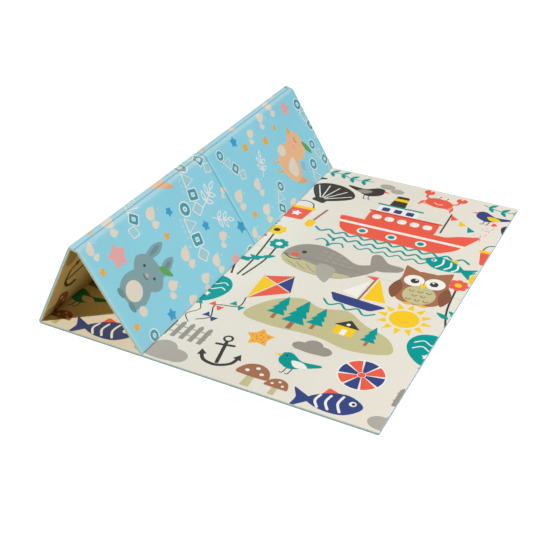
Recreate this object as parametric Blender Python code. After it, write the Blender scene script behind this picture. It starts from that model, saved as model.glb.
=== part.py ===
"""A folding foam play mat, set up as a tent: two panels and a ridge band stand over the floor panel, two more lie flat.

Metres, +Z up. The mat is one sheet of foam with a film on each side. Its section is a middle line with
pressed folds, worked out from the panel widths and the lean of the wall, and it is lofted from the front
edge to the back edge, because the tent stands a little steeper at the back.
"""

import math

import bmesh
import bpy
from mathutils import Vector

# The sheet
THICKNESS = 0.010
DEPTH = 1.500
MATERIAL_COLOUR = (0.80, 0.76, 0.66, 1.0)

# Panel widths along the middle line, from the roof's free edge round to the far edge
ROOF = 0.371
BAND = 0.030
WALL = 0.356
FLOOR = 0.394
FLAT = 0.391

# How the tent stands, at the front edge and at the back edge
WALL_LEAN = (math.radians(63.9), math.radians(66.0))
BAND_TILT = (math.radians(12.3), math.radians(11.1))
MIDDLE_SAG = math.radians(0.25)
ROOF_GAP = 0.0003

# Pressed folds: the radius of the middle line in a closed fold, what is left of the foam on each side
# of the middle line, and how far the foam takes to come back to its full thickness
FOLD_RADIUS = 0.003
FOLD_STEPS = 4
FULL_LEFT = {"inner": THICKNESS / 2, "outer": THICKNESS / 2}
CLOSED_LEFT = {"inner": 0.0025, "outer": 0.0032}
OPEN_LEFT = {"inner": 0.0038, "outer": 0.0020}
SHOULDER = 0.008

# The fold across the whole mat, a little past the middle, and the foam it takes from each side
CROSS_FOLD = 0.762
CROSS_PRESS = 0.0018
CROSS_SHOULDER = 0.007
LEAST_LEFT = 0.0010

# Rows from front to back between the edges and the cross fold
ROWS_PER_HALF = 4


def at_depth(pair, y):
    """A value that changes evenly from the front edge to the back edge."""
    front, back = pair
    return front + (back - front) * y / DEPTH


def fold_corners(y):
    """The corners of the sheet's middle line at depth y, as (x, z), from the roof's free edge to the far edge."""
    lean = at_depth(WALL_LEAN, y) - MIDDLE_SAG * math.sin(math.pi * y / DEPTH)
    tilt = at_depth(BAND_TILT, y)
    foot = Vector((0.0, THICKNESS / 2))
    top = foot + WALL * Vector((math.cos(lean), math.sin(lean)))
    ridge = top + BAND * Vector((math.cos(tilt), -math.sin(tilt)))
    fall = ridge.y - THICKNESS
    edge = Vector((ridge.x + math.sqrt(ROOF**2 - fall**2), THICKNESS))
    first_fold = foot + Vector((FLOOR, 0.0))
    second_fold = first_fold + Vector((FLAT, 0.0))
    far_edge = second_fold + Vector((FLAT, 0.0))
    return [edge, ridge, top, foot, first_fold, second_fold, far_edge]


def outward(direction):
    """The outer film's side of a stretch that runs in this direction."""
    return Vector((direction.y, -direction.x))


def closed_fold(corner, before, after):
    """Stations round a closed fold: its shoulders at full thickness and an arc of pressed foam between them."""
    turn = before.angle(after)
    tangent = FOLD_RADIUS * math.tan(turn / 2)
    stations = [(corner - before * (tangent + SHOULDER), outward(before), FULL_LEFT)]
    centre = corner - before * tangent - outward(before) * FOLD_RADIUS
    for step in range(FOLD_STEPS + 1):
        normal = outward(before).slerp(outward(after), step / FOLD_STEPS)
        stations.append((centre + normal * FOLD_RADIUS, normal, CLOSED_LEFT))
    stations.append((corner + after * (tangent + SHOULDER), outward(after), FULL_LEFT))
    return stations


def open_fold(corner, direction):
    """Stations across a fold that lies open: a shallow groove on each side."""
    normal = outward(direction)
    return [
        (corner - direction * SHOULDER, normal, FULL_LEFT),
        (corner, normal, OPEN_LEFT),
        (corner + direction * SHOULDER, normal, FULL_LEFT),
    ]


def section(y, press):
    """The outer and the inner outline of the sheet at depth y, with this much foam pressed from each side."""
    corners = fold_corners(y)
    runs = [(b - a).normalized() for a, b in zip(corners, corners[1:])]
    stations = [(corners[0], outward(runs[0]), FULL_LEFT)]
    for index in (1, 2, 3):
        stations += closed_fold(corners[index], runs[index - 1], runs[index])
    for index in (4, 5):
        stations += open_fold(corners[index], runs[index])
    stations.append((corners[6], outward(runs[5]), FULL_LEFT))
    outer = [p + n * max(left["outer"] - press, LEAST_LEFT) for p, n, left in stations]
    inner = [p - n * max(left["inner"] - press, LEAST_LEFT) for p, n, left in stations]
    # The roof's free edge is squashed to a level foot where it stands on the mat
    lift = THICKNESS + ROOF_GAP - inner[0].y
    if lift > 0:
        inner[0] += runs[0] * (lift / runs[0].y)
    return outer, inner


def rows():
    """Depths of the lofted rows with the foam pressed away at each."""
    front = [CROSS_FOLD * i / ROWS_PER_HALF for i in range(ROWS_PER_HALF)]
    back = [CROSS_FOLD + (DEPTH - CROSS_FOLD) * i / ROWS_PER_HALF for i in range(1, ROWS_PER_HALF + 1)]
    fold = [(CROSS_FOLD - CROSS_SHOULDER, 0.0), (CROSS_FOLD, CROSS_PRESS), (CROSS_FOLD + CROSS_SHOULDER, 0.0)]
    return [(y, 0.0) for y in front] + fold + [(y, 0.0) for y in back]


def build_sheet(mesh):
    """Lofts the section through the rows and closes the front and back edges between the two films."""
    bm = bmesh.new()
    outlines = []
    for y, press in rows():
        outer, inner = section(y, press)
        outlines.append(tuple([bm.verts.new((p.x, y, p.y)) for p in side] for side in (outer, inner)))
    for (outer, inner), (next_outer, next_inner) in zip(outlines, outlines[1:]):
        ring = outer + inner[::-1]
        next_ring = next_outer + next_inner[::-1]
        for i in range(len(ring)):
            j = (i + 1) % len(ring)
            bm.faces.new((ring[i], ring[j], next_ring[j], next_ring[i]))
    for outer, inner in (outlines[0], outlines[-1]):
        for i in range(len(outer) - 1):
            bm.faces.new((outer[i], outer[i + 1], inner[i + 1], inner[i]))
    # The origin is the middle of the mat's box, on the floor
    xs = [v.co.x for v in bm.verts]
    middle = Vector(((min(xs) + max(xs)) / 2, DEPTH / 2, 0.0))
    bmesh.ops.translate(bm, verts=bm.verts, vec=-middle)
    bmesh.ops.recalc_face_normals(bm, faces=bm.faces)
    bm.to_mesh(mesh)
    bm.free()


def film_and_foam():
    """Cream film over foam."""
    material = bpy.data.materials.new("film_and_foam")
    material.use_nodes = True
    shader = material.node_tree.nodes["Principled BSDF"]
    shader.inputs["Base Color"].default_value = MATERIAL_COLOUR
    shader.inputs["Roughness"].default_value = 0.45
    shader.inputs["Metallic"].default_value = 0.0
    return material


def main():
    for old in list(bpy.data.objects):
        bpy.data.objects.remove(old, do_unlink=True)
    mesh = bpy.data.meshes.new("play_mat")
    build_sheet(mesh)
    mesh.materials.append(film_and_foam())
    sheet = bpy.data.objects.new("play_mat", mesh)
    bpy.context.collection.objects.link(sheet)


main()
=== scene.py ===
# %% [markdown]
# # A printed foam play mat, standing as a tent
# The real mat is one sheet of soft foam, a centimetre thick, with a printed film welded to each side. It
# folds along pressed lines. Here two panels stand up as a tent over the third, and two more lie flat.
# The sheet is drawn flat first, as the printer sees it, and then folded into place by a few sums. That
# keeps every printed outline crisp and lets the print run round the folds just as it does on the real mat.

# %% Load the fixed frame
import math

import bmesh
import bpy
import numpy as np
from mathutils import Matrix, Vector
from mathutils.geometry import delaunay_2d_cdt


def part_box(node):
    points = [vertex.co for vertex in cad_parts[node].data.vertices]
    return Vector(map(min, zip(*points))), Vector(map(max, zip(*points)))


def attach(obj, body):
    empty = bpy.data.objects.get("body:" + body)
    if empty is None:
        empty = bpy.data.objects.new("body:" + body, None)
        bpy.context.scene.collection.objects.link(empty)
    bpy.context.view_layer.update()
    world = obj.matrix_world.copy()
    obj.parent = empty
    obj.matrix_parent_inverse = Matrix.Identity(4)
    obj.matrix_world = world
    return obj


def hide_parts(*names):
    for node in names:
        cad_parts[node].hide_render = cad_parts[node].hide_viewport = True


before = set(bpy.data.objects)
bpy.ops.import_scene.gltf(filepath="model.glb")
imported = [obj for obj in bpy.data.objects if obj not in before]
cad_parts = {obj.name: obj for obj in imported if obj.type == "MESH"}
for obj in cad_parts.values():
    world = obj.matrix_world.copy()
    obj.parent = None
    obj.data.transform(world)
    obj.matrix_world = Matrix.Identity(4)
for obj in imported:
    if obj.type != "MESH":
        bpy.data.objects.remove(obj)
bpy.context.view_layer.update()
mat_low, mat_high = (Vector(corner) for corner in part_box("play_mat"))

# %% [markdown]
# ## The camera
# The camera was worked out from the mat's corners in the photograph. Its place is measured from the tent's
# left foot at the front edge.

# %% Camera at the photograph's viewing angle
LEFT_FOOT = Vector((mat_low.x - 0.0015, mat_low.y, 0.0))
CAMERA_FROM_FOOT = Vector((1.8194, -1.9708, 1.7966))
PICTURE_RIGHT = Vector((0.89335, 0.44915, 0.01383))
PICTURE_DOWN = Vector((0.24774, -0.46660, -0.84906))
LENS = 63.3

camera = bpy.data.objects.new("camera", bpy.data.cameras.new("camera"))
bpy.context.collection.objects.link(camera)
camera.data.lens = LENS
camera.data.sensor_width = 36.0
right = PICTURE_RIGHT.normalized()
up = -(PICTURE_DOWN - right * PICTURE_DOWN.dot(right)).normalized()
turned = Matrix((right, up, right.cross(up))).transposed()
camera.matrix_world = Matrix.Translation(LEFT_FOOT + CAMERA_FROM_FOOT) @ turned.to_4x4()
bpy.context.scene.camera = camera
print("camera stands at", [round(c, 3) for c in camera.location])

# %% [markdown]
# ## Floor and light
# The photograph is a cut-out: its white ground isn't what lit the mat. So the camera sees a pale floor and a
# white sky that send the mat no light, and a duller floor just below them does. A warm patch before the tent
# and a weak lamp inside, with painted warm shade on the cream film there, make it as brown as in the
# photograph. A hard light from high in front draws the shadow's edge on the tent's floor, and a broad one on
# the right fills the blue slope.

# %% A pale floor and sky to see, and duller floors for the light
FLOOR_SIDE = 60.0
SEEN_FLOOR = (0, 0, -0.0005)
DULL_FLOOR = (0, 0, -0.0007)
SKY_REACH = 29.0
WARM_SIDE = 2.0
WARM_PATCH = (mat_low.x + 0.25, mat_low.y - WARM_SIDE / 2, -0.0006)


def studio_surface(name, colour, glow, seen):
    """Makes the newest object a surface that the camera sees, or else one that throws light at the mat."""
    surface = bpy.context.object
    surface.name = name
    paint = bpy.data.materials.new(name)
    paint.use_nodes = True
    shader = paint.node_tree.nodes["Principled BSDF"]
    shader.inputs["Base Color"].default_value = (*colour, 1)
    shader.inputs["Roughness"].default_value = 0.9
    shader.inputs["Emission Color"].default_value = (1, 1, 1, 1)
    shader.inputs["Emission Strength"].default_value = glow
    surface.data.materials.append(paint)
    surface.visible_camera = seen
    surface.visible_diffuse = not seen
    surface.visible_glossy = not seen
    surface.visible_shadow = not seen


bpy.ops.mesh.primitive_plane_add(size=FLOOR_SIDE, location=SEEN_FLOOR)
studio_surface("studio_floor", (0.86, 0.86, 0.86), 0.38, True)
bpy.ops.mesh.primitive_uv_sphere_add(segments=48, ring_count=24, radius=SKY_REACH)
studio_surface("studio_sky", (0.0, 0.0, 0.0), 1.0, True)
bpy.ops.mesh.primitive_plane_add(size=FLOOR_SIDE, location=DULL_FLOOR)
studio_surface("bounce_floor", (0.5, 0.5, 0.5), 0.0, False)
bpy.ops.mesh.primitive_plane_add(size=WARM_SIDE, location=WARM_PATCH)
studio_surface("warm_floor", (0.82, 0.51, 0.09), 0.0, False)

# %% Lights
KEY_TRAVEL = (0.122, 0.442, -0.889)
FILL_TRAVEL = (-1.0, -0.05, -0.50)
IN_TENT = (mat_low.x + 0.19, mat_low.y + 0.20, 0.13)
WARM_GLOW = {"color": (1.0, 0.70, 0.10), "shadow_soft_size": 0.06, "specular_factor": 0.0}
world = bpy.data.worlds.new("studio")
bpy.context.scene.world = world
world.use_nodes = True
background = world.node_tree.nodes["Background"]
background.inputs["Color"].default_value = (1.0, 0.94, 0.80, 1)
background.inputs["Strength"].default_value = 0.05


def lamp(name, kind, energy, place, towards, **settings):
    """A light at a place, looking along a direction."""
    data = bpy.data.lights.new(name, kind)
    data.energy = energy
    for key, value in settings.items():
        setattr(data, key, value)
    light = bpy.data.objects.new(name, data)
    light.location = place
    light.rotation_euler = Vector(towards).to_track_quat("-Z", "Y").to_euler()
    bpy.context.collection.objects.link(light)


lamp("key", "SUN", 2.45, (-1.5, -2.4, 3.1), KEY_TRAVEL, angle=math.radians(2.0))
lamp("fill", "AREA", 64.0, (3.2, 0.2, 1.9), FILL_TRAVEL, shape="RECTANGLE", size=2.5, size_y=2.0)
lamp("within the tent", "POINT", 0.06, IN_TENT, (0, 0, -1), **WARM_GLOW)
bpy.context.scene.view_settings.view_transform = "Standard"

# %% [markdown]
# ## The sheet's sizes and its folds
# These are the solid model's sizes again, in metres. Each panel's width is measured along the middle of the
# foam, from the roof's free edge over the ridge band, down the wall and along the floor to the far edge.

# %% Sizes of the sheet
THICKNESS = 0.010
DEPTH = 1.500
PANELS = {
    "roof": 0.371,
    "band": 0.030,
    "wall": 0.356,
    "floor": 0.394,
    "first flat": 0.391,
    "second flat": 0.391,
}
FOLDS = np.cumsum(list(PANELS.values()))[:-1]
LENGTH = float(sum(PANELS.values()))
FOOT_FOLD = float(FOLDS[2])
# At the front edge and at the back edge
WALL_LEAN = (math.radians(63.9), math.radians(66.0))
BAND_TILT = (math.radians(12.3), math.radians(11.1))
MIDDLE_SAG = math.radians(0.25)
FOLD_RADIUS = 0.003
CROSS_FOLD = 0.762
HAIR = 1e-9
print("the flat sheet is", round(LENGTH, 3), "by", DEPTH, "m")

# %% [markdown]
# A point of the flat sheet is (u, v): u runs across the panels and v from front to back. To fold it, the next
# helpers find the corners of the folded middle line at its depth, walk along the straight runs between them
# and swing round a small arc at each closed fold.


# %% Corners of the folded middle line
def unit(angle):
    """Steps of length one at these angles."""
    return np.stack([np.cos(angle), np.sin(angle)], 1)


def folded_corners(v):
    """The middle line's corners at each depth v, as x and z, from the roof's free edge to the far edge."""
    share = v / DEPTH
    lean = WALL_LEAN[0] + (WALL_LEAN[1] - WALL_LEAN[0]) * share - MIDDLE_SAG * np.sin(np.pi * share)
    tilt = BAND_TILT[0] + (BAND_TILT[1] - BAND_TILT[0]) * share
    foot = np.stack([0 * v, 0 * v + THICKNESS / 2], 1)
    top = foot + PANELS["wall"] * unit(lean)
    ridge = top + PANELS["band"] * unit(-tilt)
    reach = np.sqrt(PANELS["roof"] ** 2 - (ridge[:, 1] - THICKNESS) ** 2)
    edge = np.stack([ridge[:, 0] + reach, 0 * v + THICKNESS], 1)
    flats = [foot + np.array([x - FOOT_FOLD, 0.0]) for x in (*FOLDS[3:], LENGTH)]
    return [edge, ridge, top, foot, *flats]


def walk(corners):
    """The straight runs between the corners: directions, lengths, angles and the turns at the folds."""
    runs = [b - a for a, b in zip(corners, corners[1:])]
    lengths = [np.linalg.norm(run, axis=1) for run in runs]
    angles = [np.arctan2(run[:, 1], run[:, 0]) for run in runs]
    turns = [(b - a + np.pi) % (2 * np.pi) - np.pi for a, b in zip(angles, angles[1:])]
    return [run / length[:, None] for run, length in zip(runs, lengths)], lengths, angles, turns


front_turns = walk(folded_corners(np.array([0.0])))[3]
FOLD_HALVES = [float(FOLD_RADIUS * np.tan(abs(turn[0]) / 2)) for turn in front_turns]
print("the folds turn by", [round(math.degrees(turn[0])) for turn in front_turns], "degrees")


# %% Fold the middle line
def folded_middle(u, v):
    """Where points of the flat sheet's middle go, as x and z, and which way their outer film faces."""
    corners = folded_corners(v)
    runs, lengths, angles, turns = walk(corners)
    outward = [np.stack([run[:, 1], -run[:, 0]], 1) for run in runs]
    tangents = [FOLD_RADIUS * np.tan(np.abs(turn) / 2) for turn in turns]
    cuts = [0 * v, *tangents, 0 * v]
    halves = [0.0, *FOLD_HALVES, 0.0]
    creases = [0.0, *FOLDS, LENGTH]
    place, facing = np.zeros((2, len(u), 2))
    for k, run in enumerate(runs):
        start, end = creases[k] + halves[k], creases[k + 1] - halves[k + 1]
        inside = (u >= start - HAIR) & (u <= end + HAIR)
        along = cuts[k] + (u - start) / (end - start) * (lengths[k] - cuts[k] - cuts[k + 1])
        place[inside] = (corners[k] + run * along[:, None])[inside]
        facing[inside] = outward[k][inside]
    for k, (turn, half) in enumerate(zip(turns, FOLD_HALVES)):
        if half < HAIR:
            continue
        inside = np.abs(u - FOLDS[k]) < half - HAIR
        angle = angles[k] - np.pi / 2 + turn * (u - FOLDS[k] + half) / (2 * half)
        centre = corners[k + 1] - runs[k] * tangents[k][:, None] - outward[k] * FOLD_RADIUS
        normal = unit(angle)
        place[inside] = (centre + normal * FOLD_RADIUS)[inside]
        facing[inside] = normal[inside]
    return place, facing


# %% [markdown]
# Foam gives where it is pressed, so every panel is a shallow pillow: its face falls away towards a fold or an
# edge in a quarter of an ellipse, slowly at first and steeply at the end. The blue film bends smoothly over
# the ridge, with one pressed line along it, and the roof's free edge is squashed to a level foot.

# %% How thick the foam is
# For each film: how far its face falls, and how far off that begins
EDGE = {"outer": (0.0014, 0.0190), "inner": (0.0003, 0.0040)}
GROOVES = {
    "hinge": {"outer": (0.0008, 0.0120), "inner": (0.0025, 0.0085)},
    "ridge": {"outer": (0.0028, 0.0090), "inner": (0.0, 0.0100)},
    "foot": {"outer": (0.0010, 0.0100), "inner": (0.0025, 0.0085)},
    "open": {"outer": (0.0030, 0.0160), "inner": (0.0010, 0.0060)},
    "cross": {"outer": (0.0034, 0.0160), "inner": (0.0012, 0.0060)},
}
FOLD_KINDS = ("hinge", "hinge", "foot", "open", "open")
RIDGE_LINE = float(FOLDS[0]) + 0.012
LEAST_LEFT = 0.0012
FOOT_GAP = 0.0003


def pillow(distance, drop, reach):
    """How far a pillow's face has fallen at a distance from its weld."""
    share = np.clip(np.abs(distance) / reach, 0, 1)
    return drop * (1 - np.sqrt(1 - (1 - share) ** 2))


def fold_distances(u, v):
    """How far each point is from each fold's arc, from the line along the ridge and from the fold across."""
    found = [np.maximum(np.abs(u - crease) - half, 0) for crease, half in zip(FOLDS, FOLD_HALVES)]
    return [*found, np.abs(u - RIDGE_LINE), np.abs(v - CROSS_FOLD)], [*FOLD_KINDS, "ridge", "cross"]


def to_edge(u, v):
    """How far each point is from the sheet's nearest edge."""
    return np.min([u, LENGTH - u, v, DEPTH - v], axis=0)


def foam_left(u, v, side):
    """What is left of the foam between the middle and one film."""
    left = np.full_like(u, THICKNESS / 2)
    for distance, kind in zip(*fold_distances(u, v)):
        left -= pillow(distance, *GROOVES[kind][side])
    return np.maximum(left - pillow(to_edge(u, v), *EDGE[side]), LEAST_LEFT)


def fold(u, v, side):
    """Folds points of one film into the mat's own frame."""
    place, facing = folded_middle(u, v)
    sign = 1 if side == "outer" else -1
    found = place + sign * facing * foam_left(u, v, side)[:, None]
    on_roof = u < FOLDS[0] / 2
    found[on_roof, 1] = np.maximum(found[on_roof, 1], THICKNESS + FOOT_GAP)
    return np.stack([found[:, 0] + mat_high.x - (LENGTH - FOOT_FOLD), v + mat_low.y, found[:, 1]], 1)


# %% [markdown]
# ## Drawing the print
# A print is a stack of flat coloured shapes, as in cut paper: each new shape lies on the ones before it.
# Motifs are drawn in centimetres round their own middle and then laid on the sheet at a place, a size and
# a turn. The helpers below make ovals, rounded boxes, stars, soft blobs and pen strokes from a few points.

# %% Colours of the print
COLOURS = {
    "cream": (236, 231, 218),
    "sky": (149, 224, 245),
    "coral": (243, 98, 76),
    "dark coral": (214, 72, 58),
    "teal": (0, 157, 152),
    "charcoal": (68, 65, 60),
    "navy": (58, 74, 134),
    "yellow": (254, 208, 36),
    "khaki": (203, 196, 148),
    "grey": (160, 153, 143),
    "light grey": (181, 175, 165),
    "brown": (171, 115, 84),
    "dark brown": (140, 90, 64),
    "white": (247, 245, 238),
    "peach": (250, 198, 150),
    "dark peach": (245, 178, 128),
    "blue grey": (134, 172, 178),
    "dark blue grey": (112, 152, 162),
    "pink": (245, 178, 178),
    "amber": (246, 184, 70),
    "star blue": (58, 170, 220),
    "egg": (240, 229, 214),
    "bead teal": (62, 168, 186),
    "bead blue": (168, 218, 230),
    "leaf green": (98, 176, 92),
    "rim pale": (190, 238, 255),
    "rim blue": (166, 230, 255),
    "rim shade": (140, 188, 240),
}


def linear(rgb):
    """An sRGB colour, 0 to 255, as linear values."""
    c = np.array(rgb) / 255
    return np.where(c <= 0.04045, c / 12.92, ((c + 0.055) / 1.055) ** 2.4)


# %% Outlines from a few points
def oval(x, y, wide, high, turn=0.0, steps=26):
    a = np.arange(steps) * 2 * np.pi / steps
    return turned_by(unit(a) * (wide / 2, high / 2), turn) + (x, y)


def turned_by(points, degrees):
    a = math.radians(degrees)
    return np.asarray(points, float) @ np.array([[math.cos(a), math.sin(a)], [-math.sin(a), math.cos(a)]])


MOST_OF_SIDE = 0.48
PEN_END = 0.8


def soft(points, corner, steps=4):
    """A polygon with its corners rounded: corner is how far the rounding reaches along each side."""
    points = np.asarray(points, float)
    found = []
    for before, here, after in zip(np.roll(points, 1, 0), points, np.roll(points, -1, 0)):
        ends = []
        for other in (before, after):
            side = other - here
            ends.append(here + side * min(corner / np.linalg.norm(side), MOST_OF_SIDE))
        for t in np.linspace(0, 1, steps):
            found.append((1 - t) ** 2 * ends[0] + 2 * t * (1 - t) * here + t**2 * ends[1])
    return np.array(found)


def box(x, y, wide, high, corner, turn=0.0):
    points = np.array([(-1, -1), (1, -1), (1, 1), (-1, 1)]) * (wide / 2, high / 2)
    return turned_by(soft(points, corner), turn) + (x, y)


def star(x, y, reach, waist=0.5, corner=0.12):
    """A star with five tips: its waist and corner are shares of its reach."""
    tips = unit(np.pi / 2 + np.arange(10) * np.pi / 5) * np.tile([[1.0], [waist]], (5, 1))
    return soft(tips * reach, corner * reach, 3) + (x, y)


def through(points, closed, steps=5):
    """A smooth curve through the points."""
    points = np.asarray(points, float)
    wrapped = [points[-1], *points, points[0], points[1]]
    if not closed:
        wrapped = [points[0], *points, points[-1]]
    found = []
    for a, b, c, d in zip(wrapped, wrapped[1:], wrapped[2:], wrapped[3:]):
        for t in np.arange(steps) / steps:
            bend = (2 * a - 5 * b + 4 * c - d) * t**2 + (3 * b - a - 3 * c + d) * t**3
            found.append(b + 0.5 * ((c - a) * t + bend))
    return np.array(found if closed else [*found, points[-1]])


def blob(*points, steps=5):
    return through(points, closed=True, steps=steps)


def even_blob(low, half, high, steps=5):
    """A smooth shape that is alike on both sides, from its lowest point, its right side and its top."""
    return blob((0, low), *half, (0, high), *((-x, y) for x, y in half[::-1]), steps=steps)


def stroke(points, wide, curved=True, taper=1.0):
    """A pen line of even width with round ends; taper below 1 thins it towards its end."""
    path = through(points, closed=False) if curved else np.asarray(points, float)
    along = np.gradient(path, axis=0)
    along /= np.linalg.norm(along, axis=1)[:, None]
    across = np.stack([-along[:, 1], along[:, 0]], 1)
    half = np.linspace(1, taper, len(path))[:, None] * wide / 2
    tip = path[-1] + along[-1] * half[-1] * PEN_END
    tail = path[0] - along[0] * half[0] * PEN_END
    return np.vstack([tail, path - across * half, tip, (path + across * half)[::-1]])


def ring(x, y, wide, high, thick, ink, ground):
    return [(ink, oval(x, y, wide, high)), (ground, oval(x, y, wide - 2 * thick, high - 2 * thick))]


# %% Lay a motif on a sheet
def mirrored(shapes):
    return [(colour, points * (-1, 1)) for colour, points in shapes]


def both_sides(half):
    return mirrored(half) + half


def spread(layout, left, low=0.0):
    """A layout's motifs from their own centimetres into metres, with the tile's corner at (left, low)."""
    found = []
    for motif, x, y, size, turn in layout:
        found += [(ink, turned_by(points, turn) * size / 100 + (left + x, low + y)) for ink, points in motif]
    return found


def on_sheet(shapes):
    """Only the shapes that reach the sheet."""
    return [shape for shape in shapes if shape[1][:, 0].max() > 0 and shape[1][:, 0].min() < LENGTH]


# %% [markdown]
# ## The cream side
# The cream side carries big, friendly shapes in flat colours: a coral ferry on teal waves, a whale, an owl,
# an island with fir trees, and small things between them. They are this mat's own generic motifs.


# %% The ferry and its waves
def waves(left, right, y, wide=1.2):
    """A wavy pen line from left to right."""
    xs = np.arange(left, right + 1, 3.5)
    return ("teal", stroke([(x, y + 1.3 * (-1) ** i) for i, x in enumerate(xs)], wide))


def ferry():
    hull = [(-32, 1), (-28, -11), (-23, -15), (20, -15), (27, -9), (35, 8), (24, 4), (20, 1)]
    shapes = [
        ("coral", soft(hull, 2.5)),
        ("white", soft([(-30.6, -3.4), (-29.9, -5.4), (29.1, -5.4), (29.9, -3.4)], 0.5)),
        ("coral", box(-3, 6, 34, 11, 2)),
        ("white", box(-8, 15, 20, 8, 1.6)),
        ("dark coral", box(-3, 11.4, 36, 1.3, 0.5)),
        ("teal", box(-8, 19.4, 23, 1.4, 0.6)),
        ("charcoal", soft([(-14, 20), (-6, 20), (-7, 31), (-13, 31)], 1)),
        ("yellow", box(-10, 27, 7, 2.6, 0.3)),
        ("light grey", oval(-15, 35, 7, 5)),
        ("light grey", oval(-21, 38, 8, 5.5)),
        ("charcoal", stroke([(16, 4), (16, 24)], 0.8, curved=False)),
    ]
    shapes += [("white", box(6.2 * i - 15.5, 6.2, 4.4, 4.4, 2)) for i in range(5)]
    shapes += [("navy", box(6 * i - 14, 15, 3.8, 3.8, 0.8)) for i in range(3)]
    for x in (-17, -3, 11):
        shapes += ring(x, -9.8, 5.2, 5.2, 1, "white", "teal")
    for i, colour in enumerate(("coral", "yellow", "teal")):
        pennant = np.array([(0, 0), (4.4, -3.4), (1.2, -5.8)]) + (16 + 5 * i, 23.4 - 4 * i)
        shapes.append((colour, soft(pennant, 0.3)))
    return shapes + [waves(-38, 38, -16.4), waves(-30, 31, -21), waves(-16, 40, -25.2, wide=0.9)]


# %% Whale and fish
def whale():
    back = [(-19, -2), (-15, -8), (-4, -10.5), (7, -8.5), (14, -2), (18.2, 6), (14.5, 7), (9, 4.5), (0, 8.5)]
    fluke = [(14.5, 5), (19, 4), (26, 8), (26, 11.5), (19, 11), (14, 16), (11, 14), (13, 8.5)]
    belly = [(-18.6, -3.4), (-14, -8.4), (-4, -10.2), (6, -8.4), (11, -4.6), (2, -5.2), (-8, -3.4)]
    shapes = [
        ("grey", soft(fluke, 2)),
        ("grey", blob(*back, (-9, 10), (-16.5, 6))),
        ("khaki", blob(*belly)),
    ]
    for x in (-15, -11, -7, -3):
        shapes.append(("grey", stroke([(x, 0.1 * x - 4.6), (x + 2.4, -7.4), (x + 5.4, -8.8)], 0.45)))
    shapes.append(("light grey", blob((-3, -2), (-1, -9), (4, -13), (5, -11), (4, -3))))
    for y in (1.2, 4, 6.6):
        shapes += [("light grey", box(x, y, 2, 0.5, 0.2)) for x in np.arange(-5, 10 - y, 3.2)]
    shapes += [
        ("charcoal", oval(-12, 2.2, 1.9, 2.1)),
        ("coral", oval(-14.2, -1, 3.4, 2.4)),
        ("charcoal", stroke([(-18, -2.4), (-14.4, -4.2), (-10.4, -3.2)], 0.55)),
        ("teal", oval(-7, 16.4, 1.5, 2)),
    ]
    for s in (-1, 1):
        spout = [(-7, 11), (-7 + s, 13.6), (-7 + 4 * s, 15.2), (-7 + 6 * s, 13)]
        shapes.append(("teal", stroke(spout, 1.1, taper=0.6)))
    return shapes


def fish(main, light, fin):
    body = [(-9.5, 0), (-4, 5), (4, 4.2), (9.5, 0), (4, -4.2), (-4, -5)]
    shapes = [
        (fin, soft([(-3, 4), (3, 7.4), (5, 3)], 1)),
        (main, soft([(7, 0), (14.5, 5.5), (12.6, 0), (14.5, -5.5)], 1.2)),
        (main, blob(*body)),
        ("white", oval(-5.9, 1.1, 2.5, 2.5)),
        ("charcoal", oval(-6.1, 1.1, 1.2, 1.3)),
    ]
    for x in (-2.5, 1.5, 5):
        shapes.append((light, stroke([(x, 3.8 - 0.1 * x), (x + 1.3, 0), (x, 0.1 * x - 3.8)], 0.9)))
    return shapes


# %% Owl, birds and crab
def owl():
    shapes = both_sides([("brown", soft([(8.2, 5), (8.6, 14), (2, 10.4)], 1))])
    shapes.append(("brown", even_blob(-10.5, [(7, -8.5), (9, 0), (7.4, 8), (3, 11)], 11.2)))
    shapes.append(("khaki", oval(0, -4, 11.4, 12)))
    for row, count in enumerate((3, 2, 3)):
        y = -1.6 - 2.7 * row
        for x in (np.arange(count) - (count - 1) / 2) * 3:
            shapes.append(("brown", stroke([(x - 0.9, y), (x, y - 0.9), (x + 0.9, y)], 0.45)))
    half = [
        ("dark brown", blob((8.6, 3.4), (10.8, -3), (8.2, -8.6), (6.4, -2))),
        ("white", oval(3.7, 4.6, 7.2, 7.2)),
        ("charcoal", oval(3.4, 4.4, 3, 3.2)),
        ("white", oval(3, 5.2, 0.9, 0.9)),
        ("amber", oval(2.6, -10.4, 3, 1.5)),
    ]
    return shapes + both_sides(half) + [("yellow", soft([(-1.4, 3.2), (0, -0.4), (1.4, 3.2)], 0.4))]


def bird(main, wing, beak="yellow"):
    body = [(-5.6, 1.8), (-4.6, -1.6), (0, -3.8), (4.4, -1.6), (9.5, 1.4), (9, 2.6), (3, 1.8), (0, 3.4)]
    shapes = [("charcoal", stroke([(x, -3), (x - 0.4, -6.4), (x - 1.4, -6.6)], 0.4)) for x in (-0.6, 1.4)]
    return shapes + [
        (main, blob(*body, (-2.4, 4.8), (-4.8, 4.2))),
        (wing, blob((-0.8, 0.8), (1.6, -2.2), (5.6, -1), (3, 1.2))),
        (beak, soft([(-5.2, 3.2), (-8, 1.9), (-5.4, 1.4)], 0.3)),
        ("charcoal", oval(-3.5, 2.7, 0.9, 0.9)),
    ]


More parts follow.
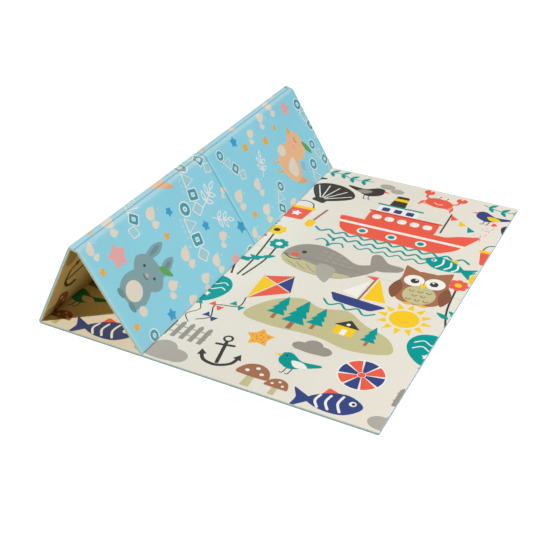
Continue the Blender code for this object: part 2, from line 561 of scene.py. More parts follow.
def crab():
    legs = [[(4, -1.6 - k), (7.4, -1.4 - 1.5 * k), (8.6, -4 - 1.3 * k)] for k in range(3)]
    half = [("coral", stroke(leg, 0.8)) for leg in legs] + [
        ("coral", stroke([(5, 1.4), (8, 3), (8.6, 5.6)], 1.2)),
        ("coral", oval(8.8, 8, 5.6, 5, 20)),
        ("cream", soft([(8.4, 8.2), (7.2, 12), (9.8, 12)], 0.2)),
        ("coral", stroke([(1.8, 3), (2, 5.6)], 0.7, curved=False)),
        ("white", oval(2, 6.4, 2.3, 2.3)),
        ("charcoal", oval(1.9, 6.4, 1.1, 1.1)),
    ]
    body = even_blob(-5.2, [(5.6, -3.6), (7, 0.8), (4, 3.8)], 4.4)
    smile = stroke([(-2.2, -0.8), (0, -2), (2.2, -0.8)], 0.5)
    return both_sides(half) + [("coral", body), ("white", smile)]


# %% Sailing boat, anchor and starfish
def sailing_boat():
    return [
        ("brown", box(0.4, 4, 0.9, 19, 0.3)),
        ("yellow", soft([(1.6, -3.4), (1.6, 12.6), (10.4, -2)], 0.7)),
        ("white", soft([(-0.8, -3.4), (-0.8, 9.6), (-7.6, -2.4)], 0.7)),
        ("coral", soft([(0.8, 13.6), (0.8, 10.6), (-4.4, 12.2)], 0.4)),
        ("navy", soft([(-11, -4.6), (-7.4, -9.8), (7.6, -9.8), (12, -4.6)], 1.2)),
        waves(-11, 12, -11.8, wide=0.9),
    ]


def anchor():
    arms = [(-7.4, -2.6), (-5.4, -6.8), (0, -8.8), (5.4, -6.8), (7.4, -2.6)]
    parts = [box(0, -0.6, 1.5, 14.4, 0.3), box(0, 4.4, 8.4, 1.3, 0.5), stroke(arms, 1.5)]
    shapes = ring(0, 8.6, 4.4, 4.4, 0.95, "charcoal", "cream") + [("charcoal", part) for part in parts]
    return shapes + both_sides([("charcoal", soft([(8.9, -4.4), (7.9, -0.2), (5.2, -3)], 0.3))])


def starfish():
    shapes = [("amber", star(0, 0, 8.4, waist=0.46, corner=0.3))]
    for arm in range(5):
        for reach in (1.8, 4.2):
            shapes.append(("coral", oval(*turned_by([(0, reach)], 72 * arm)[0], 1, 1, steps=10)))
    return shapes


# %% Island, trees and sky
FIR_TIERS = ((0.06, 0.56), (0.30, 0.46), (0.54, 0.34))
FIRS = ((-21, -4, 15), (-12, -7, 19), (-3.5, -4, 14), (20, -5, 12))
CLOUD_PUFFS = ((-5, 0, 8, 6), (0, 2.2, 9, 8.5), (5.2, 0.4, 8.5, 6.6), (0, -1.2, 15, 4.2))


def fir(x, y, high):
    """A fir tree: each tier's foot and width are shares of its height."""
    shapes = [("brown", box(x, y - high * 0.06, high * 0.11, high * 0.26, 0.2))]
    for foot, wide in FIR_TIERS:
        low, reach = y + high * foot, high * wide / 2
        tier = [(x - reach, low), (x + reach, low), (x, low + high * 0.46)]
        shapes.append(("teal", soft(tier, high * 0.05)))
    return shapes


def island():
    shore = [(-33, -9), (-20, -12), (0, -10.5), (16, -13), (31, -8), (27, 1), (15, 6), (5, 12), (-6, 9)]
    shapes = [
        ("khaki", blob(*shore, (-16, 12), (-27, 5), steps=7)),
        ("yellow", box(9, -1.5, 8.4, 6.4, 0.4)),
        ("charcoal", soft([(3.4, 1.4), (14.6, 1.4), (9, 6.6)], 0.6)),
        ("white", box(9, -2.6, 2.4, 4.2, 0.8)),
        ("white", oval(9, 3.2, 1.7, 1.7)),
    ]
    for x, y, high in FIRS:
        shapes += fir(x, y, high)
    return shapes


def sun():
    ray = soft([(-1.3, 6), (1.3, 6), (0, 9.6)], 0.4)
    shapes = [("yellow", turned_by(ray, 30 * k)) for k in range(12)]
    shapes.append(("yellow", oval(0, 0, 10, 10, steps=36)))
    return shapes + [("amber", stroke([(-2, -0.9), (0, -1.9), (2, -0.9)], 0.5))]


def cloud(colour):
    return [(colour, oval(*puff)) for puff in CLOUD_PUFFS]


def kite():
    tips = [(0, 11), (-8, 2), (0, -13), (8, 2)]
    shapes = [("charcoal", stroke([(0, -13), (3, -19), (-3, -25), (2, -31), (0, -36)], 0.5))]
    for colour, here, after in zip(("coral", "yellow", "coral", "navy"), tips, tips[1:] + tips[:1]):
        shapes.append((colour, soft((here, after, (0, 2)), 0.5)))
    for spar in ([(0, 10), (0, -12)], [(-7, 2), (7, 2)]):
        shapes.append(("cream", stroke(spar, 0.5, curved=False)))
    for colour, x, y in (("teal", 2.4, -19), ("coral", -2.4, -25), ("navy", 1.8, -31)):
        for s in (-1, 1):
            shapes.append((colour, soft([(x, y), (x + 2.8 * s, y - 1.7), (x + 2.8 * s, y + 1.7)], 0.3)))
    return shapes


# %% Ball, shell, bucket, balloon and fence
def ball():
    shapes = [("white", oval(0, 0, 19, 19, steps=40))]
    for k in range(8):
        a = np.radians(np.linspace(45 * k + 3, 45 * k + 42, 8))
        arc = unit(a)
        shapes.append((("coral", "navy")[k % 2], np.vstack([arc * 8.9, arc[::-1] * 1.7])))
    return shapes + [("coral", oval(0, 0, 3, 3))]


def shell():
    shapes = [("charcoal", even_blob(-7, [(6, -3), (10.5, 3.6), (7.2, 8.6)], 10.6))]
    shapes.append(("charcoal", box(0, -7, 6.4, 3, 1)))
    rib = stroke([(0, 2), (0, 14)], 0.5, curved=False)
    return shapes + [("white", turned_by(rib, degrees) + (0, -6)) for degrees in (-40, -20, 0, 20, 40)]


def bucket():
    scoop = [(7, -4.6), (11.2, -5.4), (10.6, -10.8), (8.4, -11.2), (6.8, -9.6)]
    return [
        ("charcoal", stroke([(-5.6, 4.6), (-4, 9.5), (0, 11.2), (4, 9.5), (5.6, 4.6)], 0.6)),
        ("coral", soft([(-6.2, 5), (-4.4, -6.5), (4.4, -6.5), (6.2, 5)], 0.8)),
        ("yellow", box(0, 4.6, 13.4, 2.2, 0.8)),
        ("white", star(0, -1.2, 2.7)),
        ("brown", box(10.6, 1, 1.1, 12, 0.4, -12)),
        ("yellow", soft(scoop, 0.8)),
    ]


def balloon():
    shapes = [
        ("charcoal", stroke([(0, -9), (2, -14), (-2, -19), (1, -24)], 0.45)),
        ("teal", even_blob(-8, [(6.4, -2.6), (8.8, 5), (6, 11.4)], 13.6)),
        ("teal", soft([(-1.8, -10), (1.8, -10), (0, -7)], 0.3)),
        ("white", star(0, -1.8, 2)),
    ]
    for k in (0, 4):
        ripple = [(-6.2, 6.5 - k), (-2.6, 8.6 - k), (0.8, 6.2 - k), (4.4, 8.2 - k), (6.6, 6.8 - k)]
        shapes.append(("white", stroke(ripple, 0.6)))
    return shapes


def fence():
    shapes = [("light grey", box(0, y, 25, 1, 0.3)) for y in (-2.6, 3)]
    for x in 5.2 * np.arange(-2, 3):
        shapes.append(("grey", soft([(x - 1.4, -7), (x + 1.4, -7), (x + 1.4, 6), (x, 8), (x - 1.4, 6)], 0.3)))
    return shapes


# %% Flowers, toadstools, leaves and hearts
def flower(colour, middle, x, y):
    shapes = []
    for k in range(8):
        petal = turned_by([(0, 3)], 45 * k)[0] + (x, y)
        shapes.append((colour, oval(*petal, 3, 3.4, 45 * k, 14)))
    return shapes + [(middle, oval(x, y, 3.2, 3.2, steps=18))]


def leaf(x, y, long, turn):
    points = even_blob(0, [(long * 0.22, long * 0.4)], long, steps=4)
    return ("teal", turned_by(points, turn) + (x, y))


def flowers():
    blooms = (("coral", "yellow", -6, 17, -1), ("yellow", "charcoal", 1, 24, 1), ("teal", "white", 7, 12, 1))
    shapes = []
    for colour, middle, x, y, lean in blooms:
        shapes.append(("charcoal", stroke([(x * 0.4, -20), (x * 0.8 + lean, -4), (x, y)], 0.9)))
        shapes += [leaf(x * 0.62, -8 + x * 0.4, 6.5, 60), leaf(x * 0.62, -5 + x * 0.4, 6.5, -60)]
        shapes += flower(colour, middle, x, y)
    return shapes


def toadstool(x, y, g):
    """A toadstool of size g, with its cap's lower edge at (x, y)."""
    stem = [(-1.8 * g, -7 * g), (1.8 * g, -7 * g), (1.3 * g, 1), (-1.3 * g, 1)]
    cap = [(-6.5 * g, -0.4), (-3, -1.2 * g), (3, -1.2 * g), (6.5 * g, -0.4), (4.6 * g, 4.4 * g), (0, 6.4 * g)]
    shapes = [("khaki", soft(stem, 0.6) + (x, y)), ("brown", blob(*cap, (-4.6 * g, 4.4 * g)) + (x, y))]
    for across, up in ((-2.8, 1.6), (0.4, 4), (3, 1.4)):
        shapes.append(("white", oval(x + across * g, y + up * g, 1.7 * g, 1.5 * g, steps=14)))
    return shapes


def toadstools():
    return toadstool(-5, 0, 1) + toadstool(5.4, -2.2, 0.7)


def garland():
    stem = through([(-24, 1.5), (-12, -1.5), (0, 1.5), (12, -1.5), (24, 1.5)], closed=False)
    shapes = [("teal", stroke(stem[::2], 0.8))]
    for point in stem[2:-1:3]:
        shapes += [leaf(*point, 6.4, -35), leaf(*point, 6.4, -145)]
    return shapes


def heart(x, y, g):
    half = [(0, -1.1), (0.9, -0.35), (1.15, 0.35), (0.75, 0.85), (0.25, 0.8), (0, 0.45)]
    points = np.array([*half, *((-px, py) for px, py in half[-2:0:-1])]) * g + (x, y)
    return ("coral", soft(points, 0.12 * g, 3))


def loops():
    rise = [(-14, -1), (-7, 1.5), (-3, 5), (-6, 7.5), (-9, 4.5), (-4, 0.5)]
    path = through([*rise, (3, 0), (8, 3), (6, 6.5), (3, 4), (8, 0), (14, 1)], closed=False, steps=4)
    dashes = [path[i : i + 3] for i in range(0, len(path) - 3, 4)]
    return [("coral", stroke(dash, 0.5, curved=False)) for dash in dashes] + [heart(16.5, 2.5, 2.4)]


# %% [markdown]
# Each row of the layout says which motif, where its middle lies on the tile in metres (across, and up from
# the front edge), its size, and its turn in degrees. The tile is two panels wide.

# %% Where the motifs lie on the cream side
CREAM_REPEAT = PANELS["first flat"] + PANELS["second flat"]
CREAM_LAYOUT = [
    (ferry(), 0.44, 1.13, 0.82, 2),
    (whale(), 0.29, 0.77, 0.95, -4),
    (island(), 0.43, 0.42, 0.80, 0),
    (owl(), 0.64, 0.76, 1.00, 6),
    (kite(), 0.18, 0.54, 0.90, -24),
    (sun(), 0.65, 0.56, 1.00, 0),
    (cloud("light grey"), 0.04, 0.04, 1.00, 0),
    (cloud("grey"), 0.45, 0.27, 0.72, 0),
    (flowers(), 0.02, 0.71, 0.80, 4),
    (mirrored(fish("navy", "white", "coral")), 0.62, 0.06, 0.90, 12),
    (fish("teal", "white", "yellow"), 0.66, 0.95, 0.80, -10),
    (crab(), 0.49, 1.40, 0.80, -6),
    (shell(), 0.07, 1.26, 0.92, -14),
    (ball(), 0.64, 0.22, 0.80, 15),
    (bucket(), 0.02, 1.07, 0.88, 4),
    (fence(), 0.06, 0.17, 0.62, 0),
    (garland(), 0.03, 1.45, 0.66, -3),
    (balloon(), 0.78, 0.41, 0.80, 8),
    (toadstools(), 0.39, 0.07, 0.85, 0),
    (bird("teal", "white"), 0.43, 0.18, 0.90, 0),
    (mirrored(bird("charcoal", "grey", "coral")), 0.21, 1.36, 1.00, 4),
    (bird("navy", "yellow", "coral"), 0.70, 1.37, 0.90, 0),
    (loops(), 0.73, 1.24, 0.50, 78),
    (sailing_boat(), 0.47, 0.64, 0.90, -3),
    (anchor(), 0.21, 0.13, 0.80, 12),
    (starfish(), 0.28, 0.25, 0.66, 10),
]


def cream_print():
    """The cream side's shapes on the flat sheet: the same motifs again every two panels."""
    lefts = [LENGTH - (repeat + 1) * CREAM_REPEAT for repeat in range(-1, 3)]
    return on_sheet([shape for left in lefts for shape in spread(CREAM_LAYOUT, left)])


# %% [markdown]
# ## The blue side
# The blue side is a busy all-over print: chicks and rabbits, rows of white-edged toy beads, pale drops, stars
# and leaf sprigs. It is read from the sheet's other side, so it is mirrored at the end.


# %% Chick and rabbit
def chick():
    shapes = [("amber", stroke([(x, -8), (x - 0.4, -12), (x - 2.2, -12.4)], 0.7)) for x in (-1, 3)]
    shapes += [
        ("dark peach", soft([(7, 0), (12.6, 4.6), (10.4, -3.4)], 1.2)),
        ("peach", blob((-6.5, -2), (-3, -8.6), (4, -9), (9.4, -4), (8.6, 1.6), (2, 3.4), (-4, 3))),
        ("peach", oval(-3.2, 6.2, 12.6, 11.6)),
        ("egg", blob((0, 0.6), (3.4, -5.4), (7.8, -2.6), (6, 1))),
        ("egg", oval(-4.4, -4.6, 4.8, 5.4)),
        ("amber", soft([(-9, 7), (-12.4, 5.4), (-9, 4.2)], 0.5)),
        ("brown", stroke([(-6.6, 7.6), (-5.4, 6.8), (-4.4, 7.8)], 0.4)),
        ("pink", oval(-3.4, 4.6, 2.6, 1.8)),
        ("leaf green", blob((-3.6, 11.4), (-1.2, 14.4), (2.8, 15.6), (0.4, 12.2))),
    ]
    for k in (0, 1.1, 2.2):
        tick = [(3.6 + k, 4.9 - 0.4 * k), (5.2 + k, 6.8 - 0.4 * k)]
        shapes.append(("brown", stroke(tick, 0.3, curved=False)))
    return shapes


def rabbit():
    ear = [
        ("blue grey", blob((3.2, 8), (1.6, 14), (3.4, 18.5), (5.6, 14), (5.2, 8))),
        ("dark blue grey", blob((3.4, 10), (2.8, 14), (3.6, 16.5), (4.6, 14), (4.2, 10))),
    ]
    shapes = both_sides(ear) + [
        ("blue grey", even_blob(-12, [(4.6, -11), (6.4, -6), (4.6, 0)], 0.4)),
        ("blue grey", even_blob(-1.8, [(5, -0.4), (7.6, 4.4), (4.6, 9)], 10.2)),
        ("egg", oval(0, -6.4, 7.4, 8.4)),
        ("egg", oval(7.2, -8.8, 3.8, 3.8)),
        ("pink", oval(0, 2.9, 1.6, 1.1)),
        ("charcoal", stroke([(-1.3, 1.9), (0, 1.2), (1.3, 1.9)], 0.3)),
        ("leaf green", blob((1.6, 9.8), (4, 12.6), (8, 13), (5.4, 10))),
    ]
    foot, eye = oval(3.2, -11.6, 4.2, 2.4), oval(3, 4.6, 1.1, 1.3)
    return shapes + both_sides([("dark blue grey", foot), ("charcoal", eye)])


# %% Toy beads, drops, sprigs and stars
def edged(colour, outline, x, rim=1.22):
    """A bead with a white edge round it: the outline grown about its own middle."""
    return [("white", outline * rim + (x, 0)), (colour, outline + (x, 0))]


def beads():
    """A row of four toy beads with a dotted shadow under them."""
    triangle = soft([(-2.7, -2.4), (2.7, -2.4), (0, 2.9)], 0.5)
    diamond = soft([(0, -3.1), (2.7, 0), (0, 3.1), (-2.7, 0)], 0.6)
    shapes = edged("bead teal", oval(0, 0, 5.2, 5.4), -9.3) + ring(-9.3, 0, 2.2, 2.4, 0.45, "white", "sky")
    shapes += edged("bead blue", triangle, -3.1) + [("sky", oval(-3.1, -0.6, 1.3, 1.2, steps=14))]
    shapes += edged("bead teal", box(0, 0, 4.6, 5.2, 0.9), 3.1)
    shapes += [("white", box(3.1, 0, 1.9, 2.3, 0.5)), ("sky", box(3.1, 0, 1, 1.4, 0.3))]
    shapes += edged("bead blue", diamond, 9.2) + [("sky", oval(9.2, 0, 1.3, 1.3, steps=14))]
    return shapes + [("egg", oval(2.4 * k - 6, -4.9, 1.3, 0.5, steps=10)) for k in range(4)]


def drop(x, y, g, turn):
    points = even_blob(-3.2, [(2.3, -1.8), (2.2, 0.8), (0.7, 3)], 3.9, steps=4)
    return ("egg", turned_by(points * g, turn) + (x, y))


def drops():
    return [drop(-1.4, 0, 0.86, 18), drop(2.6, -1.2, 0.58, -14), ("egg", oval(-0.4, 3.9, 0.9, 0.7, 20, 10))]


def sprig():
    shapes = [("white", stroke([(0, -7.5), (0.7, 0), (0, 5)], 0.6))]
    outer = even_blob(0, [(1.3, 2.2)], 5.4, steps=4)
    inner = even_blob(1.1, [(0.7, 2.4)], 4.3, steps=4)
    for x, y, turn in ((0, 3.6, 0), (0.2, 0.6, 52), (0.2, 0.6, -52), (0.2, -3.4, 56), (0.2, -3.4, -56)):
        shapes += [("white", turned_by(outer, turn) + (x, y)), ("sky", turned_by(inner, turn) + (x, y))]
    return shapes


def small_star(colour):
    return [(colour, star(0, 0, 1, waist=0.56, corner=0.16))]


# %% [markdown]
# A row of the blue layout has a motif and its places, each with its size and turn. A small star's size is how
# many centimetres its tips reach. The tile is as high as half the mat.

# %% Where the motifs lie on the blue side
BLUE_TILE = (0.644, DEPTH / 2)
BLUE_ROWS = [
    (chick(), (0.17, 0.50, 1.00, -6)),
    (rabbit(), (0.47, 0.17, 0.92, 8)),
    (beads(), (0.33, 0.60, 0.86, -16), (0.09, 0.74, 0.84, 14), (0.25, 0.71, 0.74, 24)),
    (beads(), (0.46, 0.50, 0.90, -12), (0.28, 0.29, 0.74, -40), (0.04, 0.12, 0.70, 32)),
    (sprig(), (0.39, 0.66, 0.80, 24), (0.49, 0.67, 0.72, -30), (0.11, 0.29, 0.66, 60)),
    (small_star("pink"), (0.36, 0.13, 4.6, 12), (0.64, 0.62, 3.4, -8)),
    (small_star("star blue"), (0.56, 0.74, 2.8, 20), (0.62, 0.20, 2.4, 0), (0.35, 0.44, 2.0, 34)),
    (small_star("star blue"), (0.47, 0.57, 2.2, 8)),
    (small_star("amber"), (0.24, 0.10, 1.9, 15), (0.05, 0.39, 2.3, 0), (0.37, 0.04, 1.7, 30)),
    (small_star("amber"), (0.02, 0.25, 2.2, 10), (0.03, 0.49, 1.6, 22), (0.41, 0.37, 1.8, 5)),
    (small_star("amber"), (0.57, 0.04, 1.6, 18)),
    (drops(), (0.33, 0.36, 0.95, 10), (0.55, 0.62, 0.80, -20), (0.51, 0.41, 1.00, 24)),
    (drops(), (0.62, 0.43, 0.85, -8), (0.60, 0.53, 0.90, 16), (0.56, 0.27, 0.85, -24)),
    (drops(), (0.16, 0.07, 1.00, 8), (0.30, 0.05, 0.75, 30), (0.00, 0.32, 0.80, -14)),
    (drops(), (0.17, 0.21, 0.90, 20), (0.27, 0.18, 0.95, 0), (0.42, 0.75, 0.60, -30)),
]
BLUE_LAYOUT = [(motif, *place) for motif, *places in BLUE_ROWS for place in places]


def blue_print():
    """The blue side's shapes on the flat sheet, tile by tile, each second row shifted by half a tile."""
    wide, high = BLUE_TILE
    shapes = []
    for row in range(2):
        for column in range(-1, 4):
            shapes += spread(BLUE_LAYOUT, (column + 0.5 * row) * wide, row * high)
    return on_sheet([(colour, points + (LENGTH, 0)) for colour, points in mirrored(shapes)])


# %% [markdown]
# ## Cutting the films into faces
# To give each printed shape its own crisp edge, its outline becomes edges of the mesh. Blender's own
# triangulator takes all outlines at once, with lines along the folds and a loose grid between them, and says
# which shapes each triangle lies in. The topmost gives the triangle its colour.

# %% Lines that the mesh needs for its folds
GRID_STEP = 0.055
POINTS_MEET = 1e-6
EDGE_LINES = EDGE["outer"][1] * np.linspace(0, 1, 9) ** 2
FOLD_LINES = GROOVES["cross"]["outer"][1] * np.linspace(0, 1, 7) ** 2


def fold_lines(centres, halves, whole):
    """Positions of the lines along one direction: at the edges, at each fold, and evenly between them."""
    found = [*EDGE_LINES, *(whole - EDGE_LINES)]
    for centre, half in zip(centres, halves):
        found += [centre, centre - half / 2, centre + half / 2]
        found += [centre + s * (half + o) for s in (-1, 1) for o in FOLD_LINES if half + o > POINTS_MEET]
    found = sorted(found)
    for a, b in list(zip(found, found[1:])):
        count = math.ceil((b - a) / GRID_STEP)
        found += [a + (b - a) * k / count for k in range(1, count)]
    return sorted({round(float(x), 4) for x in found})


U_LINES = fold_lines([*FOLDS, RIDGE_LINE], [*FOLD_HALVES, 0.0], LENGTH)
V_LINES = fold_lines([CROSS_FOLD], [0.0], DEPTH)
print(len(U_LINES), "lines along the mat and", len(V_LINES), "across it")


# %% Cut one film
INNER_TRIANGLES = 1


def cut_film(ground, shapes):
    """The film's flat points, its triangles and the colour name of each, from the printed shapes."""
    points = [(0, 0), (LENGTH, 0), (LENGTH, DEPTH), (0, DEPTH)]
    faces, names = [[0, 1, 2, 3]], [ground]
    edges = []
    lines = [((u, 0), (u, DEPTH)) for u in U_LINES[1:-1]] + [((0, v), (LENGTH, v)) for v in V_LINES[1:-1]]
    for line in lines:
        edges.append((len(points), len(points) + 1))
        points += line
    for colour, outline in shapes:
        x, y = outline.T
        if (x * np.roll(y, -1) - y * np.roll(x, -1)).sum() < 0:
            outline = outline[::-1]
        faces.append(list(range(len(points), len(points) + len(outline))))
        names.append(colour)
        points += [tuple(p) for p in outline.tolist()]
    cut = delaunay_2d_cdt([Vector(p) for p in points], edges, faces, INNER_TRIANGLES, POINTS_MEET)
    corners, _, triangles, _, _, sources = cut
    flat = np.array([tuple(p) for p in corners])
    kept = [(face, max(ids)) for face, ids in zip(triangles, sources) if 0 in ids]
    used, triangles = np.unique([face for face, top in kept], return_inverse=True)
    return flat[used], triangles.reshape(-1, 3), [names[top] for face, top in kept]


cream_flat, cream_faces, cream_inks = cut_film("cream", cream_print())
blue_flat, blue_faces, blue_inks = cut_film("sky", blue_print())
print("the films have", len(cream_faces), "and", len(blue_faces), "small faces")

# %% [markdown]
# ## One closed sheet
# The two films are folded into place, and a narrow rim joins them all round, as the real mat's welded edge
# does: a thin lip of the cream film, then the blue film in two strips, the upper one paler, and the lower one
# darkened with painted shade where it runs along the floor. The films have more edge points than the rim has,
# so the helper zips two rows together with triangles, always taking the point that comes first.

# %% Points along the sheet's edge
AROUND = 2 * (LENGTH + DEPTH)
RIM_SHARES = (0.06, 0.50)
RIM_COLOURS = ("cream", "rim pale", "rim blue")
ON_FLOOR = (FOOT_FOLD, 2 * LENGTH + DEPTH - FOOT_FOLD)


def place_around(flat):
    """How far round the sheet each edge point lies, from the roof's front corner and along the front."""
    u, v = flat.T
    along = np.stack([u, LENGTH + v, 2 * LENGTH + DEPTH - u, AROUND - v])
    nearest = np.argmin(np.round([v, LENGTH - u, DEPTH - v, u], 5), axis=0)
    return np.round(along[nearest, np.arange(len(u))], 6)


def edge_points(flat):
    """The film's own edge points, in order round the sheet."""
    rim = np.flatnonzero(to_edge(*flat.T) < POINTS_MEET)
    around = place_around(flat[rim])
    order = np.argsort(around)
    return rim[order], around[order]


def zipped(upper, upper_at, lower, lower_at):
    """Triangles between two rows that run round the sheet, with the outside on the right."""
    upper, lower = [*upper, upper[0]], [*lower, lower[0]]
    upper_at, lower_at = [*upper_at, AROUND], [*lower_at, AROUND]
    faces, places, i, j = [], [], 0, 0
    while i < len(upper) - 1 or j < len(lower) - 1:
        on_upper = j == len(lower) - 1 or (i < len(upper) - 1 and upper_at[i + 1] <= lower_at[j + 1])
        tip, tip_at = (upper[i + 1], upper_at[i + 1]) if on_upper else (lower[j + 1], lower_at[j + 1])
        faces.append((upper[i], lower[j], tip))
        places.append((upper_at[i], lower_at[j], tip_at))
        i, j = (i + 1, j) if on_upper else (i, j + 1)
    return faces, places


# %% Fold the films and zip on the rim
front = [(u, 0.0) for u in U_LINES[:-1]]
far = [(LENGTH, v) for v in V_LINES[:-1]]
back = [(u, DEPTH) for u in U_LINES[:0:-1]]
roof_edge = [(0.0, v) for v in V_LINES[:0:-1]]
rim_flat = np.array(front + far + back + roof_edge)
rim_at = place_around(rim_flat)
rim_inner, rim_outer = fold(*rim_flat.T, "inner"), fold(*rim_flat.T, "outer")

points = [fold(*cream_flat.T, "inner"), fold(*blue_flat.T, "outer")]
points += [rim_inner + (rim_outer - rim_inner) * share for share in RIM_SHARES]
starts = np.cumsum([0] + [len(p) for p in points])
flat = np.vstack([cream_flat, blue_flat, rim_flat, rim_flat])
cream_edge, cream_at = edge_points(cream_flat)
blue_edge, blue_at = edge_points(blue_flat)
rows = [(cream_edge, cream_at)]
rows += [(np.arange(len(rim_at)) + starts[2 + k], rim_at) for k in range(len(RIM_SHARES))]
rows += [(blue_edge + starts[1], blue_at)]

faces = [cream_faces, blue_faces[:, ::-1] + starts[1]]
colours = [*cream_inks, *blue_inks]
films = len(colours)
rim_places = []
for k, colour in enumerate(RIM_COLOURS):
    found, places = zipped(*rows[k], *rows[k + 1])
    faces.append(np.array(found))
    # painted shade: the rim's lowest strip takes a darker colour where it runs along the floor
    painted_shade_lip = "rim shade" if colour == "rim blue" else colour
    colours += [painted_shade_lip if ON_FLOOR[0] < place[0] < ON_FLOOR[1] else colour for place in places]
    rim_places.append(places)
points, faces = np.vstack(points), np.vstack(faces)

sheet_mesh = bpy.data.meshes.new("printed_mat")
sheet_mesh.from_pydata(points, [], faces.tolist())
sheet_mesh.validate()
mat = bpy.data.objects.new("printed_mat", sheet_mesh)
bpy.context.collection.objects.link(mat)
checked = bmesh.new()
checked.from_mesh(sheet_mesh)
open_edges = sum(1 for e in checked.edges if not e.is_manifold)
litres = round(checked.calc_volume() * 1000, 1)
print("the mat has", len(faces), "faces,", open_edges, "open edges and", litres, "litres of foam")
checked.free()

# %% [markdown]
# ## Colours and charts on the mesh
# Each small face carries its printed colour on its corners. Over the print, painted shade darkens each fold
# line, painted sheen pales the blue film over the ridge band and near the sheet's edges, and painted warm
# shade tints the cream film inside the tent. Two charts go with it: one in metres, for the fine emboss, and
# one that lays films and rim side by side in a square, for a bake.

# %% Printed colour of each corner, with painted shade and sheen
# For each fold: how far the painted shade on its line reaches, and how dark it is
FOLD_SHADE = {
    "hinge": (0.0010, 0.0),
    "ridge": (0.0022, 0.75),
    "foot": (0.0015, 0.5),
    "open": (0.0010, 0.12),
    "cross": (0.0030, 1.0),
}
INNER_SHADE_SHARE = 0.4
FOLD_SHADE_GAIN = 1.5
FOLD_SHADE_TINT = np.array([0.30, 0.46, 0.50])
# painted sheen: how far the blue film is mixed towards cream, and how far from the band and the edges
SHEEN_SHARE = 0.26
SHEEN_REACH = {"band": 0.010, "edge": 0.016}
EDGE_SHEEN = 0.5
# painted warm shade on the cream film inside the tent, and where it fades out
TENT_SHADE_TINT = np.array([1.0, 0.95, 0.78])
TENT_SHADE_FADES = (FOOT_FOLD + 0.30, FOOT_FOLD + 0.37)


def fold_shade(u, v, side):
    """How much painted shade darkens the print on a fold line: most on the line, none a few millimetres off.
    """
    distances, kinds = fold_distances(u, v)
    widths, weights = np.array([FOLD_SHADE[kind] for kind in kinds]).T
    share = FOLD_SHADE_GAIN * (1 - np.array(distances) / widths[:, None])
    return (np.clip(share, 0, 1) * weights[:, None]).max(axis=0) * (1.0 if side == "outer" else INNER_SHADE_SHARE)


def painted_sheen(u, v):
    """How much painted sheen pales the blue film over the ridge band and round the sheet's edges."""
    off_band = np.maximum(np.maximum(FOLDS[0] - u, u - FOLDS[1]), 0) / SHEEN_REACH["band"]
    off_edge = to_edge(u, v) / SHEEN_REACH["edge"]
    return np.clip(np.maximum(1 - off_band, EDGE_SHEEN * (1 - off_edge)), 0, 1)


def per_corner(cream_values, blue_values):
    """A value for each corner of each face from the values at the films' points; the rim has none."""
    rim_values = np.zeros(len(rim_at) * len(RIM_SHARES))
    return np.concatenate([cream_values, blue_values, rim_values])[faces][..., None]


palette = {name: linear(rgb) for name, rgb in COLOURS.items()}
(cream_u, cream_v), (blue_u, blue_v) = cream_flat.T, blue_flat.T
# painted sheen on the blue film over the ridge band and near the edges
pale = per_corner(0 * cream_u, painted_sheen(blue_u, blue_v))
# painted shade on the fold lines, weaker on the cream side
dark = per_corner(fold_shade(cream_u, cream_v, "inner"), fold_shade(blue_u, blue_v, "outer"))
# painted warm shade on the cream film inside the tent
tent_shade = np.clip((TENT_SHADE_FADES[1] - cream_u) / (TENT_SHADE_FADES[1] - TENT_SHADE_FADES[0]), 0, 1)
painted_tent_shade = per_corner(tent_shade, 0 * blue_u)
# the printed colour, to which painted sheen and painted shade are added below
ink = np.repeat(np.array([palette[name] for name in colours])[:, None], 3, axis=1)
# painted sheen: the blue film mixed towards cream
ink += (palette["cream"] - ink) * pale * SHEEN_SHARE
# painted shade: the print darkened towards a teal tint on the fold lines
ink *= 1 - dark * (1 - FOLD_SHADE_TINT)
# painted warm shade: the cream inside the tent tinted darker and browner
ink *= 1 - painted_tent_shade * (1 - TENT_SHADE_TINT)
ink = np.concatenate([ink, np.ones((*ink.shape[:2], 1))], axis=-1).astype(np.float32)
# the corner colours hold the print with its painted shade and painted sheen
sheet_mesh.attributes.new("print", "FLOAT_COLOR", "CORNER").data.foreach_set("color", ink.ravel())

# %% Two charts
CHART_MARGIN = 0.01
CHART_WIDE = 0.98
FILM_HIGH = 0.46
BLUE_FROM = 0.49
RIM_FROM = 0.965
RIM_HIGH = 0.007
RIM_STEP = 1.3
in_metres = flat[faces]
square = CHART_MARGIN + in_metres / (LENGTH, DEPTH) * (CHART_WIDE, FILM_HIGH)
square[len(cream_faces):films, :, 1] += BLUE_FROM - CHART_MARGIN
start = films
for k, places in enumerate(rim_places):
    stop = start + len(places)
    places = np.array(places)
    upper = np.isin(faces[start:stop], rows[k][0])
    square[start:stop, :, 0] = CHART_MARGIN + places / AROUND * CHART_WIDE
    square[start:stop, :, 1] = RIM_FROM + RIM_HIGH * (k * RIM_STEP + np.where(upper, 0, 1))
    start = stop
for name, chart in (("OFBake", square), ("metres", in_metres)):
    layer = sheet_mesh.uv_layers.new(name=name)
    layer.uv.foreach_set("vector", np.ascontiguousarray(chart, np.float32).ravel())
print("charts:", [layer.name for layer in sheet_mesh.uv_layers])

bpy.ops.object.select_all(action="DESELECT")
mat.select_set(True)
bpy.context.view_layer.objects.active = mat
SHARPEST = math.radians(38)
bpy.ops.object.shade_smooth_by_angle(angle=SHARPEST)

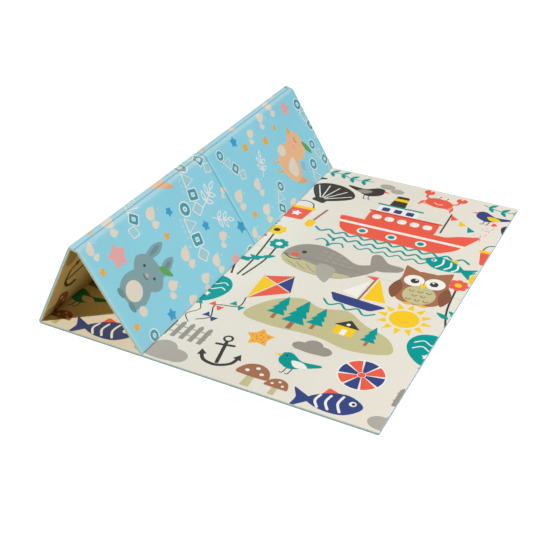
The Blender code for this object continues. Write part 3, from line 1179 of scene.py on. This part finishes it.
# %% [markdown]
# ## The film's finish
# The film is a satin plastic with a shallow embossed ripple, and the print varies very slightly, as ink on a
# long roll does.

# %% Printed film on foam
film_paint = bpy.data.materials.new("printed_film_on_foam")
film_paint.use_nodes = True
tree = film_paint.node_tree
shader = tree.nodes["Principled BSDF"]
shader.inputs["Roughness"].default_value = 0.42
shader.inputs["IOR"].default_value = 1.46


def node(kind, **settings):
    made = tree.nodes.new(kind)
    for key, value in settings.items():
        if key in made.inputs:
            made.inputs[key].default_value = value
        else:
            setattr(made, key, value)
    return made


TONES = {"From Min": 0.3, "From Max": 0.7, "To Min": 0.975, "To Max": 1.015}
link = tree.links.new
# corner colours: the print with painted shade on the folds and in the tent, and painted sheen
printed = node("ShaderNodeAttribute", attribute_name="print")
where = node("ShaderNodeTexCoord")
cloudiness = node("ShaderNodeTexNoise", Scale=3.5, Detail=2.0)
link(where.outputs["Object"], cloudiness.inputs["Vector"])
tone = node("ShaderNodeMapRange", **TONES)
link(cloudiness.outputs["Fac"], tone.inputs["Value"])
toned = node("ShaderNodeVectorMath", operation="SCALE")
link(printed.outputs["Color"], toned.inputs[0])
link(tone.outputs["Result"], toned.inputs["Scale"])
link(toned.outputs["Vector"], shader.inputs["Base Color"])

# %% Embossed ripple
chart = node("ShaderNodeUVMap", uv_map="metres")
WAVES = {"Scale": 62.0, "Distortion": 2.0, "Detail": 1.0, "Detail Scale": 0.6}
ripple = node("ShaderNodeTexWave", wave_type="BANDS", bands_direction="DIAGONAL", **WAVES)
link(chart.outputs["UV"], ripple.inputs["Vector"])
emboss = node("ShaderNodeBump", Strength=0.30, Distance=0.0006)
link(ripple.outputs["Fac"], emboss.inputs["Height"])
link(emboss.outputs["Normal"], shader.inputs["Normal"])
sheet_mesh.materials.append(film_paint)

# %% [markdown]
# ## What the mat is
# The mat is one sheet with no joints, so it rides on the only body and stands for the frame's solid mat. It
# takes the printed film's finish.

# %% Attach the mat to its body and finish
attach(mat, "root")
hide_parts("play_mat")

bpy.context.view_layer.update()
